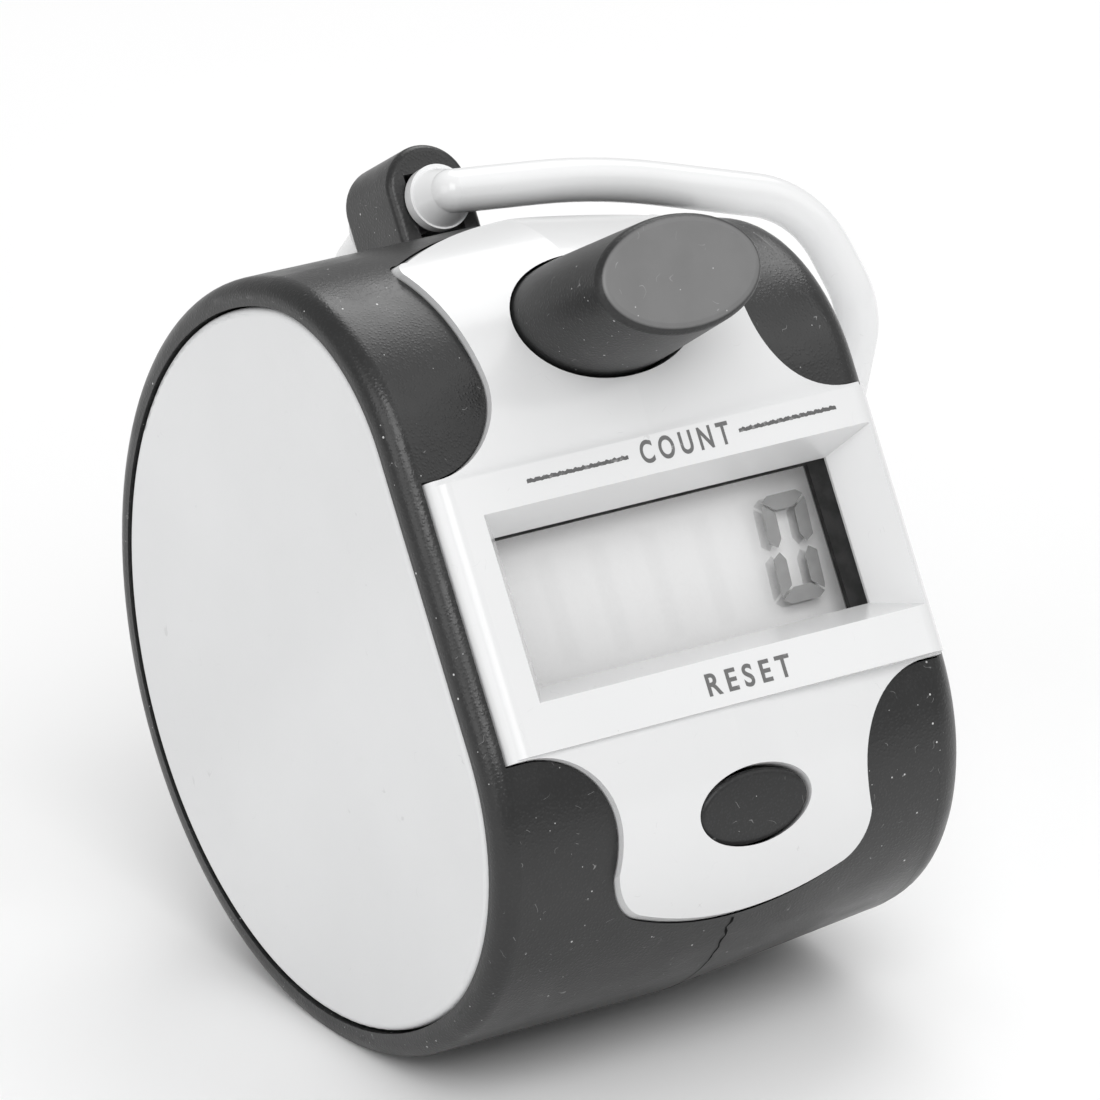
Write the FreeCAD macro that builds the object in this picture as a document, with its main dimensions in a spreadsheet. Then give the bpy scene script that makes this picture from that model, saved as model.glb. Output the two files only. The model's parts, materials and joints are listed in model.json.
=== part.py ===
import FreeCAD, Part
import math
import os
import Sketcher

# Hand tally counter: a short drum with a flat front, held in the fist.
# Row frame: X across the drum, from the left side cover (x = 0) to the right one, Y from
# front to back, Z up. The origin is on the drum's axis, in the plane of the left side
# cover's flat face. The counter stands on a narrow flat under its round grip, with its
# display leaning back.
# Each piece is drawn upright: x from the drum's middle plane, y from the display
# backwards, z up along the display. Its placement then leans it back and moves it across.

os.makedirs("parts", exist_ok=True)
doc = FreeCAD.newDocument("HandTallyCounter")
Vec = FreeCAD.Vector

# ---------------------------------------------------------------- driving dimensions
DIMENSIONS = [
    ("body_width", 31.0, "drum width over the two rims"),
    ("recline", 32.0, "how far the display leans back, in degrees"),
    ("drum_radius", 21.9, "radius of the drum's back and top"),
    ("front_depth", 15.3, "from the drum's axis to the flat front"),
    ("brow_radius", 12.2, "radius between flat front and top"),
    ("chin_radius", 14.0, "radius between flat front and bottom"),
    ("foot_level", 21.5, "from the drum's axis to the narrow flat that it stands on"),
    ("foot_half", 6.0, "half width of the tool that cuts this flat"),
    ("draw_in", 1.8, "how far the right rim is drawn in all round"),
    ("draw_forward", 0.9, "how far the middle of the right rim lies forward"),
    ("draw_down", 0.6, "how far it lies down"),
    ("wall", 1.6, "grip shell wall"),
    ("rim_width", 1.5, "rim round the left side cover"),
    ("rim_width_right", 4.1, "inset of the right side cover's seat"),
    ("rim_round", 1.15, "round on the outer edge of the left rim"),
    ("rim_round_right", 2.0, "the same on the right rim"),
    ("cover_depth", 2.2, "depth of the seat that holds a side cover"),
    ("cover_thickness", 1.9, "side cover thickness"),
    ("cover_gap", 0.12, "gap round a side cover"),
    ("ledge_width", 1.6, "ledge behind a side cover"),
    ("ledge_thickness", 1.0, "thickness of that ledge"),
    ("plate_proud", 0.45, "how far the faceplate stands above the grip shells"),
    ("plate_gap", 0.10, "gap between faceplate and grip shells"),
    ("neck_upper", 8.75, "half width of the faceplate beside the count button"),
    ("neck_lower", 8.1, "half width of the faceplate beside the reset button"),
    ("bezel_half", 14.25, "half width of the raised display bezel"),
    ("bezel_top", 6.6, "bezel upper edge above the drum's axis"),
    ("bezel_foot", -8.7, "bezel lower edge"),
    ("bezel_face", -16.05, "plane of the bezel's flat face"),
    ("window_shift", 0.95, "sideways offset of the display window"),
    ("window_middle", -0.78, "height of the middle of the display window"),
    ("mouth_width", 25.2, "window opening at the bezel's face"),
    ("mouth_height", 10.5, "the same, upright"),
    ("sight_width", 21.6, "window opening at its inner end"),
    ("sight_height", 8.4, "the same, upright"),
    ("sight_depth", 2.75, "depth of the tapered window"),
    ("count_half_width", 5.6, "half width of the count button's column at its foot"),
    ("count_half_height", 3.68, "half height of that column"),
    ("count_flare", 0.42, "how much wider its foot is than its face, on each side"),
    ("count_centre", 13.85, "height of the count button's centre"),
    ("count_face", -23.65, "plane of the count button's face"),
    ("count_travel", 1.2, "count button travel"),
    ("reset_half_width", 3.55, "half width of the reset button"),
    ("reset_half_height", 1.9, "half height of the reset button"),
    ("reset_centre", -14.1, "height of the reset button's centre"),
    ("reset_shift", 0.55, "sideways offset of the reset button"),
    ("reset_travel", 0.8, "reset button travel"),
    ("button_gap", 0.16, "gap round each button"),
    ("board_front", -6.4, "front face of the circuit board"),
    ("board_thickness", 1.2, "circuit board thickness"),
    ("lug_width", 5.2, "width of the ring lug"),
    ("lug_shift", 0.35, "sideways offset of the ring lug"),
    ("lug_crown", 24.8, "height of the centre of the lug's round top"),
    ("lug_depth", 5.8, "depth of the ring lug"),
    ("lug_front", 0.1, "front face of the ring lug"),
    ("hinge_height", 24.1, "height of the finger ring's hinge axis"),
    ("rod_radius", 1.25, "finger ring rod radius"),
    ("collar_radius", 1.88, "finger ring collar radius"),
    ("pin_radius", 1.4, "finger ring pin radius in the lug"),
    ("cell_radius", 5.8, "button cell radius"),
    ("cell_height", 5.4, "button cell height"),
]
sheet = doc.addObject("Spreadsheet::Sheet", "Dimensions")
for line, (alias, value, note) in enumerate(DIMENSIONS, start=1):
    sheet.set("A%d" % line, note)
    sheet.set("B%d" % line, str(value))
    sheet.setAlias("B%d" % line, alias)
doc.recompute()


class Size:
    """A length that carries its sheet expression and its present value."""

    def __init__(self, text, value):
        self.text = text
        self.value = float(value)

    def join(self, sign, other, value):
        return Size("(%s %s %s)" % (self.text, sign, other.text), value)

    def __add__(self, other):
        other = as_size(other)
        return self.join("+", other, self.value + other.value)

    def __sub__(self, other):
        other = as_size(other)
        return self.join("-", other, self.value - other.value)

    def __mul__(self, factor):
        return Size("(%s * %s)" % (self.text, repr(float(factor))), self.value * factor)

    def __neg__(self):
        return self * -1.0


def as_size(number):
    if isinstance(number, Size):
        return number
    return Size("(%s)" % repr(float(number)), number)


def dim(alias):
    return Size("Dimensions." + alias, sheet.get(alias))


half = dim("body_width") * 0.5
lean_back = FreeCAD.Rotation(Vec(1, 0, 0), -sheet.get("recline"))
nodes = []


def bind(obj, path, length):
    obj.setExpression(path, as_size(length).text)


def put_in_row(obj):
    """Lean an upright piece back and move it from the middle plane to the row's origin."""
    obj.Placement = FreeCAD.Placement(Vec(half.value, 0, 0), lean_back)
    bind(obj, ".Placement.Base.x", half)
    nodes.append(obj)


# ---------------------------------------------------------------- sketch helpers
def new_body(label):
    body = doc.addObject("PartDesign::Body", label)
    body.Label = label
    put_in_row(body)
    return body


def new_sketch(body, role, name, offset):
    """Sketch on the body's own plane. Offset runs along +X on YZ and along -Y on XZ."""
    sketch = body.newObject("Sketcher::SketchObject", name)
    plane = [f for f in body.Origin.OriginFeatures if f.Role == role][0]
    sketch.AttachmentSupport = (plane, "")
    sketch.MapMode = "FlatFace"
    bind(sketch, ".AttachmentOffset.Base.z", offset)
    return sketch


def close_loop(sketch, first, count):
    for i in range(count):
        sketch.addConstraint(Sketcher.Constraint(
            "Coincident", first + i, 2, first + (i + 1) % count, 1))


def fix_radius(sketch, index, radius, name):
    where = sketch.addConstraint(Sketcher.Constraint("Radius", index, radius.value))
    sketch.renameConstraint(where, name)
    bind(sketch, "Constraints." + name, radius)


def fix_point(sketch, index, point, across, up, name):
    """Bind a point of the sketch to two sheet sizes, measured from the sketch's origin."""
    for kind, size, tail in (("DistanceX", across, "_a"), ("DistanceY", up, "_u")):
        where = sketch.addConstraint(Sketcher.Constraint(
            kind, -1, 1, index, point, size.value))
        sketch.renameConstraint(where, name + tail)
        bind(sketch, "Constraints." + name + tail, size)


def add_rectangle(sketch, left, right, low, high, name):
    corners = [(left, low), (right, low), (right, high), (left, high)]
    points = [Vec(a.value, b.value, 0) for a, b in corners]
    first = sketch.GeometryCount
    for i in range(4):
        sketch.addGeometry(Part.LineSegment(points[i], points[(i + 1) % 4]), False)
    close_loop(sketch, first, 4)
    for i, kind in enumerate(("Horizontal", "Vertical", "Horizontal", "Vertical")):
        sketch.addConstraint(Sketcher.Constraint(kind, first + i))
    fix_point(sketch, first, 1, left, low, name + "_low")
    fix_point(sketch, first + 2, 1, right, high, name + "_high")


def add_circle(sketch, across, up, radius, name):
    circle = Part.Circle(Vec(across.value, up.value, 0), Vec(0, 0, 1), radius.value)
    index = sketch.addGeometry(circle, False)
    fix_radius(sketch, index, radius, name + "_radius")
    fix_point(sketch, index, 3, across, up, name + "_centre")


def add_oval(sketch, across, up, half_width, half_height):
    oval = Part.Ellipse(Vec(across.value, up.value, 0), half_width.value, half_height.value)
    sketch.addGeometry(oval, False)


def corner_rise(radius):
    """Height of a front corner's centre, so that its arc runs smoothly into the drum."""
    back = sheet.get("drum_radius") - radius
    forward = sheet.get("front_depth") - radius
    return math.sqrt(back * back - forward * forward)


def add_drum(sketch, inset):
    """The drum's outline: round back, flat front, two large front corners."""
    inset = as_size(inset)
    radius = dim("drum_radius") - inset
    brow = dim("brow_radius") - inset
    chin = dim("chin_radius") - inset
    front = dim("front_depth")
    brow_y = -(front - dim("brow_radius")).value
    chin_y = -(front - dim("chin_radius")).value
    brow_z = corner_rise(sheet.get("brow_radius"))
    chin_z = -corner_rise(sheet.get("chin_radius"))
    top = math.atan2(brow_z, brow_y)
    foot = math.atan2(chin_z, chin_y)
    normal = Vec(0, 0, 1)
    chord = -(front - inset).value
    first = sketch.GeometryCount
    sketch.addGeometry(Part.ArcOfCircle(
        Part.Circle(Vec(0, 0, 0), normal, radius.value), foot, top), False)
    sketch.addGeometry(Part.ArcOfCircle(
        Part.Circle(Vec(brow_y, brow_z, 0), normal, brow.value), top, math.pi), False)
    sketch.addGeometry(Part.LineSegment(Vec(chord, brow_z, 0), Vec(chord, chin_z, 0)), False)
    sketch.addGeometry(Part.ArcOfCircle(
        Part.Circle(Vec(chin_y, chin_z, 0), normal, chin.value), math.pi,
        2 * math.pi + foot), False)
    close_loop(sketch, first, 4)
    fix_radius(sketch, first, radius, "back")
    fix_radius(sketch, first + 1, brow, "brow")
    fix_radius(sketch, first + 3, chin, "chin")
    sketch.addConstraint(Sketcher.Constraint("Coincident", first, 3, -1, 1))


def arc_through(start, middle, end):
    return Part.Arc(Vec(*start, 0), Vec(*middle, 0), Vec(*end, 0))


def add_plate_outline(sketch, gap):
    """Faceplate seen from the front: two necks that flare into the display's width.
    Gap widens it all round, for the opening in the grip shells."""
    wide = sheet.get("bezel_half") + gap
    upper = sheet.get("neck_upper") + gap
    lower = sheet.get("neck_lower") + gap
    brow = sheet.get("bezel_top") + 0.3 + gap
    chin = sheet.get("bezel_foot") - 0.1 - gap
    lobe = 4.9 - gap
    low_lobe = 5.1 - gap
    slant = math.sqrt(0.5)
    shoulder = (upper + 0.7, 18.75 + 0.4 * gap)
    crown = (upper - 0.2, 19.45 + gap)
    apex = 21.0 + gap
    waist = (upper, brow + lobe)
    hip = (upper + lobe, brow)
    hip_mid = (upper + lobe - lobe * slant, brow + lobe - lobe * slant)
    low_hip = (lower + low_lobe, chin)
    low_waist = (lower, chin - low_lobe)
    low_mid = (lower + low_lobe - low_lobe * slant, chin - low_lobe + low_lobe * slant)
    cheek = (lower + 0.075, chin - low_lobe - 1.0)
    jaw = (lower + 0.3, chin - low_lobe - 2.0)
    jaw_mid = (lower - 0.1, -17.2 - 0.6 * gap)
    jaw_end = (lower - 1.5, -18.2 - gap)
    keel = -19.2 - gap
    right = [
        arc_through(crown, (upper + 0.45, 19.3 + 0.8 * gap), shoulder),
        arc_through(shoulder, (upper + 0.18, 15.2), waist),
        arc_through(waist, hip_mid, hip),
        Part.LineSegment(Vec(*hip, 0), Vec(wide, brow, 0)),
        Part.LineSegment(Vec(wide, brow, 0), Vec(wide, chin, 0)),
        Part.LineSegment(Vec(wide, chin, 0), Vec(*low_hip, 0)),
        arc_through(low_hip, low_mid, low_waist),
        arc_through(low_waist, cheek, jaw),
        arc_through(jaw, jaw_mid, jaw_end),
    ]
    shapes = [arc_through((-crown[0], crown[1]), (0, apex), crown)]
    shapes += right
    shapes.append(arc_through(jaw_end, (0, keel), (-jaw_end[0], jaw_end[1])))
    shapes += [mirror_curve(piece) for piece in reversed(right)]
    for shape in shapes:
        sketch.addGeometry(shape, False)


def mirror_curve(curve):
    """The same line or arc on the other side of the upright middle line."""
    ends = [curve.StartPoint, curve.EndPoint]
    flipped = [Vec(-p.x, p.y, 0) for p in ends]
    if isinstance(curve, Part.LineSegment):
        return Part.LineSegment(flipped[1], flipped[0])
    middle = curve.value((curve.FirstParameter + curve.LastParameter) / 2)
    return Part.Arc(flipped[1], Vec(-middle.x, middle.y, 0), flipped[0])


# ---------------------------------------------------------------- feature helpers
def settle(body, before, grows):
    """Recompute and make sure that the last feature really added or removed material."""
    doc.recompute()
    change = body.Shape.Volume - before
    if (change <= 1e-4) if grows else (change >= -1e-4):
        raise RuntimeError("%s: last feature changed nothing" % body.Label)


def volume_of(body):
    return 0.0 if body.Shape.isNull() else body.Shape.Volume


def extrude(body, kind, sketch, length, reverse):
    before = volume_of(body)
    feature = body.newObject("PartDesign::" + kind, kind + sketch.Name)
    feature.Profile = sketch
    bind(feature, "Length", length)
    feature.Reversed = reverse
    settle(body, before, kind == "Pad")
    return feature


def pad_right(body, left, right, draw):
    left = as_size(left)
    sketch = new_sketch(body, "YZ_Plane", "Section", left)
    draw(sketch)
    return extrude(body, "Pad", sketch, as_size(right) - left, False)


def loft_drawn_in(body, kind, right, inset):
    """Loft from the middle plane along +X, drawn in and shifted as the right rim is."""
    right = as_size(right)
    share = right.value / rim_start.value
    near = new_sketch(body, "YZ_Plane", "Section", as_size(0))
    add_drum(near, inset)
    far = new_sketch(body, "YZ_Plane", "Section", right)
    add_drum(far, as_size(inset) + dim("draw_in") * share)
    shift_as_rim(far, share)
    before = volume_of(body)
    feature = body.newObject("PartDesign::" + kind, kind)
    feature.Profile = near
    feature.Sections = [far]
    feature.Ruled = True
    settle(body, before, kind == "AdditiveLoft")


def shift_as_rim(sketch, share=1.0):
    """Move a section to where the right rim's middle lies."""
    bind(sketch, ".AttachmentOffset.Base.x", dim("draw_forward") * -share)
    bind(sketch, ".AttachmentOffset.Base.y", dim("draw_down") * -share)


def cut_right(body, left, right, draw):
    left = as_size(left)
    sketch = new_sketch(body, "YZ_Plane", "Hollow", left)
    draw(sketch)
    return extrude(body, "Pocket", sketch, as_size(right) - left, True)


def pad_back(body, front, back, draw):
    front = as_size(front)
    sketch = new_sketch(body, "XZ_Plane", "Face", -front)
    draw(sketch)
    return extrude(body, "Pad", sketch, as_size(back) - front, True)


def cut_back(body, front, back, draw):
    front = as_size(front)
    sketch = new_sketch(body, "XZ_Plane", "Opening", -front)
    draw(sketch)
    return extrude(body, "Pocket", sketch, as_size(back) - front, False)


def cut_up(body, low, high, draw):
    low = as_size(low)
    sketch = new_sketch(body, "XY_Plane", "Slot", low)
    draw(sketch)
    return extrude(body, "Pocket", sketch, as_size(high) - low, True)


def round_edges(body, radius, wanted):
    """Fillet the edges of the body's tip that the test picks."""
    tip = body.Tip
    names = ["Edge%d" % (i + 1) for i, e in enumerate(tip.Shape.Edges) if wanted(e)]
    if not names:
        raise RuntimeError("%s: no edges to round" % body.Label)
    fillet = body.newObject("PartDesign::Fillet", "Round")
    fillet.Base = (tip, names)
    bind(fillet, "Radius", radius)
    doc.recompute()
    if "Invalid" in fillet.State:
        raise RuntimeError("%s: the edges could not be rounded" % body.Label)
    return fillet


def lies_at(edge, axis, value):
    box = edge.BoundBox
    low = getattr(box, axis + "Min")
    high = getattr(box, axis + "Max")
    return abs(low - value) < 1e-3 and abs(high - value) < 1e-3


def runs_along(edge, axis):
    box = edge.BoundBox
    spans = {name: getattr(box, name + "Max") - getattr(box, name + "Min") for name in "XYZ"}
    others = [spans[name] for name in "XYZ" if name != axis]
    return spans[axis] > 0.05 and max(others) < 1e-3


def rectangle(left, right, low, high):
    return lambda s: add_rectangle(
        s, as_size(left), as_size(right), as_size(low), as_size(high), "box")


def circle(across, up, radius):
    return lambda s: add_circle(s, as_size(across), as_size(up), as_size(radius), "disc")


def oval(across, up, half_width, half_height):
    return lambda s: add_oval(
        s, as_size(across), as_size(up), as_size(half_width), as_size(half_height))


def drum(inset, side=-1):
    def draw(sketch):
        add_drum(sketch, inset)
        if side > 0:
            shift_as_rim(sketch)
    return draw


def outside_drum(inset):
    def draw(sketch):
        reach = Size("30", 30)
        add_rectangle(sketch, -reach, reach, -reach, reach, "block")
        add_drum(sketch, inset)
    return draw


# ---------------------------------------------------------------- drum body
CASE_SCREWS = [(13.9, 11.7), (13.9, -11.7), (-2.5, -17.9)]
BOARD_SCREWS = [(6.6, 9.0), (-6.6, 9.0), (6.6, -10.9), (-6.6, -10.9)]
BOSS_RADIUS = 2.4
seat_floor = half - dim("cover_depth")
rim_start = half - dim("rim_round_right") - 0.1
ledge_floor = seat_floor - dim("ledge_thickness")


def span(side, near, far):
    """Range across the drum on one side of its middle plane, lower end first."""
    near, far = as_size(near), as_size(far)
    return (near, far) if side > 0 else (-far, -near)


def cut_foot(body, left, right):
    """Narrow flat along the underside, level when the display leans back."""
    lean = math.radians(sheet.get("recline"))
    down = Vec(math.sin(lean), -math.cos(lean), 0)
    along = Vec(math.cos(lean), math.sin(lean), 0)
    level = sheet.get("foot_level")
    reach = sheet.get("foot_half")

    def draw(sketch):
        corners = [down * level - along * reach, down * level + along * reach,
                   down * (level + 3) + along * reach, down * (level + 3) - along * reach]
        first = sketch.GeometryCount
        for i in range(4):
            sketch.addGeometry(Part.LineSegment(corners[i], corners[(i + 1) % 4]), False)
        close_loop(sketch, first, 4)
    cut_right(body, left, right, draw)


def make_grip_shell(label, side):
    body = new_body(label)
    if side < 0:
        seat, rounding = dim("rim_width"), dim("rim_round")
        pad_right(body, -half, 0, drum(0))
    else:
        seat, rounding = dim("rim_width_right"), dim("rim_round_right")
        loft_drawn_in(body, "AdditiveLoft", rim_start, 0)
        pad_right(body, rim_start, half, drum(dim("draw_in"), side))
    plane = side * half.value
    round_edges(body, rounding, lambda e: lies_at(e, "X", plane))
    cut_foot(body, *span(side, 0, half))
    if side < 0:
        cut_right(body, -ledge_floor, 0, drum(dim("wall")))
    else:
        loft_drawn_in(body, "SubtractiveLoft", ledge_floor, dim("wall"))
    cut_right(body, *span(side, ledge_floor, seat_floor),
              drum(seat + dim("ledge_width"), side))
    cut_right(body, *span(side, seat_floor, half), drum(seat, side))
    for across, up in CASE_SCREWS:
        if side < 0:
            far = ledge_floor + 0.3
            pad_right(body, -far, -0.03, circle(across, up, BOSS_RADIUS))
            cut_right(body, -far, 0, circle(across, up, 1.1))
            cut_right(body, -far, 1.5 - far.value, circle(across, up, 2.0))
        else:
            pad_right(body, 0.03, 6.3, circle(across, up, BOSS_RADIUS))
            cut_right(body, 0, 6.3, circle(across, up, 1.06))
    gap = sheet.get("plate_gap")
    cut_back(body, -18, -4.9, lambda s: add_plate_outline(s, gap))
    slot = dim("lug_width") * 0.5 + 0.06
    middle = dim("lug_shift")
    front = dim("lug_front") - 0.06
    back = dim("lug_front") + dim("lug_depth") + 0.06
    cut_up(body, 18, 23, rectangle(middle - slot, middle + slot, front, back))
    return body


def make_side_cover(label, side):
    body = new_body(label)
    inset = dim("rim_width" if side < 0 else "rim_width_right") + dim("cover_gap")
    inner = half - dim("cover_thickness")
    pad_right(body, *span(side, inner, half), drum(inset, side))
    outer = side * half.value
    round_edges(body, 0.45, lambda e: lies_at(e, "X", outer))
    return body


# ---------------------------------------------------------------- faceplate
def combine_with_drum(body, kind, inset):
    """Keep what lies inside the whole drum's outline, or cut it away."""
    tool = doc.addObject("PartDesign::Body", "drum_blank")
    pad_right(tool, -half - 2, 0, drum(inset))
    loft_drawn_in(tool, "AdditiveLoft", rim_start, inset)
    pad_right(tool, rim_start, half, drum(inset + dim("draw_in"), 1))
    before = volume_of(body)
    feature = body.newObject("PartDesign::Boolean", kind + "Drum")
    feature.Type = kind
    feature.addObjects([tool])
    settle(body, before, False)


def make_faceplate():
    body = new_body("faceplate")
    pad_back(body, -17.4, -5.0, lambda s: add_plate_outline(s, 0.0))
    combine_with_drum(body, "Common", -dim("plate_proud"))
    combine_with_drum(body, "Cut", dim("wall") - 0.1)
    cut_right(body, -20, 20, drum(dim("wall")))
    cut_right(body, -20, 20, rectangle(-13.85, 0, -9, 8))
    wide = dim("bezel_half")
    face = dim("bezel_face")
    pad_back(body, face, -13.9, rectangle(-wide, wide, dim("bezel_foot"), dim("bezel_top")))
    front = face.value
    round_edges(body, 1.25, lambda e: lies_at(e, "Y", front) and runs_along(e, "Z"))
    middle = dim("window_middle")
    shift = dim("window_shift")
    pad_back(body, -15.0, -13.1, rectangle(-12.1, 13.1, middle - 7.3, middle + 7.3))
    cut_window(body, face, shift, middle)
    gap = dim("button_gap")
    cut_back(body, -20, -6, oval(0, dim("count_centre"), dim("count_half_width") + gap,
                                 dim("count_half_height") + gap))
    cut_back(body, -20, -6, oval(dim("reset_shift"), dim("reset_centre"),
                                 dim("reset_half_width") + gap,
                                 dim("reset_half_height") + gap))
    for across, up in BOARD_SCREWS:
        pad_back(body, -14.0, dim("board_front"), circle(across, up, 1.9))
        cut_back(body, -12.0, dim("board_front"), circle(across, up, 0.85))
    return body


def depth_under_skin(point):
    """How far a point lies inside the drum's outline, in the drum's own section."""
    y, z = point.y, point.z
    for radius, sign in ((sheet.get("brow_radius"), 1), (sheet.get("chin_radius"), -1)):
        centre_y = -(sheet.get("front_depth") - radius)
        centre_z = sign * corner_rise(radius)
        steep = math.atan2(abs(centre_z), -centre_y)
        lean = math.atan2(sign * (z - centre_z), -(y - centre_y))
        if 0 <= lean <= steep:
            return radius - math.hypot(y - centre_y, z - centre_z)
    if y < 0 and abs(z) < 12:
        return y + sheet.get("front_depth")
    return sheet.get("drum_radius") - math.hypot(y, z)


def cut_window(body, face, shift, middle):
    """Tapered funnel from the bezel's face down to the display."""
    sections = []
    for name, plane, width, height in (
            ("Mouth", face, dim("mouth_width"), dim("mouth_height")),
            ("Sight", face + dim("sight_depth"), dim("sight_width"), dim("sight_height"))):
        sketch = new_sketch(body, "XZ_Plane", name, -plane)
        add_rectangle(sketch, shift - width * 0.5, shift + width * 0.5,
                      middle - height * 0.5, middle + height * 0.5, "frame")
        sections.append(sketch)
    before = volume_of(body)
    loft = body.newObject("PartDesign::SubtractiveLoft", "Funnel")
    loft.Profile = sections[0]
    loft.Sections = [sections[1]]
    settle(body, before, False)
    width = dim("sight_width") * 0.5
    height = dim("sight_height") * 0.5
    cut_back(body, -14, -12.9, rectangle(shift - width, shift + width,
                                         middle - height, middle + height))


# ---------------------------------------------------------------- buttons and switches
def make_count_button():
    body = new_body("count_button")
    centre = dim("count_centre")
    face = dim("count_face")
    wide, tall = dim("count_half_width"), dim("count_half_height")
    top = new_sketch(body, "XZ_Plane", "Face", -face)
    oval(0, centre, wide - dim("count_flare"), tall - dim("count_flare"))(top)
    foot = new_sketch(body, "XZ_Plane", "Foot", as_size(14.0))
    oval(0, centre, wide, tall)(foot)
    flare = body.newObject("PartDesign::AdditiveLoft", "Flare")
    flare.Profile = top
    flare.Sections = [foot]
    settle(body, 0.0, True)
    pad_back(body, -14.0, -11.0, oval(0, centre, wide, tall))
    front = face.value
    round_edges(body, 0.55, lambda e: lies_at(e, "Y", front))
    ceiling = face + 1.4
    cut_back(body, ceiling, -10.9, oval(0, centre, wide - 1.5, tall - 1.5))
    pad_back(body, -11.9, -11.0, rectangle(-6.2, 6.2, centre - 0.9, centre + 0.9))
    pad_back(body, ceiling, -9.93, circle(0, centre, 1.4))
    return body


def make_reset_button():
    body = new_body("reset_button")
    centre = dim("reset_centre")
    shift = dim("reset_shift")
    pad_back(body, -17, -11.0, oval(shift, centre, dim("reset_half_width"),
                                    dim("reset_half_height")))
    cut_right(body, -10, 10, outside_drum(-0.15))
    round_edges(body, 0.3, skin_edge)
    pad_back(body, -11.35, -10.6, rectangle(shift - 4.4, shift + 4.4,
                                            centre - 0.7, centre + 0.9))
    pad_back(body, -10.6, -9.23, circle(shift, centre, 1.25))
    return body


def skin_edge(edge):
    middle = edge.valueAt((edge.FirstParameter + edge.LastParameter) / 2)
    return abs(depth_under_skin(middle) + 0.15) < 0.02 and not runs_along(edge, "X")


def make_switch(name, across, up, body_front, plunger_front, plunger_back, bore_back):
    base = new_body(name + "_switch_base")
    across, up = as_size(across), as_size(up)
    pad_back(base, body_front, dim("board_front"),
             rectangle(across - 3.0, across + 3.0, up - 3.0, up + 3.0))
    cut_back(base, body_front, bore_back, circle(across, up, 1.28))
    plunger = new_body(name + "_switch_plunger")
    pad_back(plunger, plunger_front, plunger_back, circle(across, up, 1.22))
    return base, plunger


# ---------------------------------------------------------------- display
def make_display():
    middle = dim("window_middle")
    gasket = new_body("lcd_gasket")
    pad_back(gasket, -13.1, -12.7, rectangle(-11.6, 12.6, middle - 5.9, middle + 5.9))
    cut_back(gasket, -13.2, -12.6, rectangle(-10.3, 10.6, middle - 4.3, middle + 4.08))
    front = new_body("lcd_front_glass")
    pad_back(front, -12.7, -11.8, rectangle(-11.0, 12.3, middle - 6.4, middle + 6.4))
    rear = new_body("lcd_rear_glass")
    pad_back(rear, -11.74, -10.84, rectangle(-11.0, 12.3, middle - 5.0, middle + 5.0))
    mirror = new_body("lcd_reflector")
    pad_back(mirror, -10.8, -10.6, rectangle(-10.9, 12.2, middle - 4.9, middle + 4.9))
    holder = new_body("lcd_holder")
    pad_back(holder, -12.7, dim("board_front") - 0.03,
             rectangle(-12.0, 13.1, middle - 7.3, middle + 7.3))
    cut_back(holder, -12.8, dim("board_front"),
             rectangle(-11.12, 12.42, middle - 6.5, middle + 6.5))
    for name, low in (("upper_contact_strip", middle + 5.2),
                      ("lower_contact_strip", middle - 6.3)):
        strip = new_body(name)
        pad_back(strip, -11.78, dim("board_front") - 0.02,
                 rectangle(-10.4, 11.4, low, low + 1.1))


# ---------------------------------------------------------------- board and battery
def make_board():
    body = new_body("circuit_board")
    front = dim("board_front")
    back = front + dim("board_thickness")
    pad_back(body, front, back, rectangle(-11.6, 11.6, -15.9, 16.8))
    round_edges(body, 2.0, lambda e: runs_along(e, "Y"))
    for across, up in BOARD_SCREWS:
        cut_back(body, front - 0.5, back + 0.5, circle(across, up, 1.0))
    blob = new_body("chip_blob")
    pad_back(blob, back, back + 1.0, circle(0, 9.6, 3.2))
    top = (back + 1.0).value
    round_edges(blob, 0.8, lambda e: lies_at(e, "Y", top))
    capacitor = new_body("capacitor")
    pad_back(capacitor, back, back + 4.4, circle(9.4, 2.0, 1.8))
    end = (back + 4.4).value
    round_edges(capacitor, 0.3, lambda e: lies_at(e, "Y", end))


def make_battery():
    """Button cell on edge in a cradle behind the board, low in the drum's back."""
    back = dim("board_front") + dim("board_thickness")
    reach = dim("cell_height") * 0.5
    centre = (5.4, -9.6)
    cell = new_body("battery_cell")
    pad_right(cell, -reach, reach, circle(*centre, dim("cell_radius")))
    flat = reach.value
    round_edges(cell, 0.5, lambda e: lies_at(e, "X", flat))
    holder = new_body("battery_holder")
    inner = reach + 0.3
    outer = inner + 1.2
    pad_back(holder, back, 8.0, rectangle(-outer, outer, -15.2, -4.8))
    cut_back(holder, -5.3, 1.0, rectangle(-inner, inner, -13.8, -5.4))
    cut_right(holder, -inner, inner, circle(*centre, dim("cell_radius") + 0.2))
    for name, side in (("negative", -1), ("positive", 1)):
        strip = new_body("battery_contact_" + name)
        pad_right(strip, *span(side, reach + 0.02, reach + 0.28),
                  rectangle(-5.15, 9.0, -11.0, -8.2))


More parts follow.
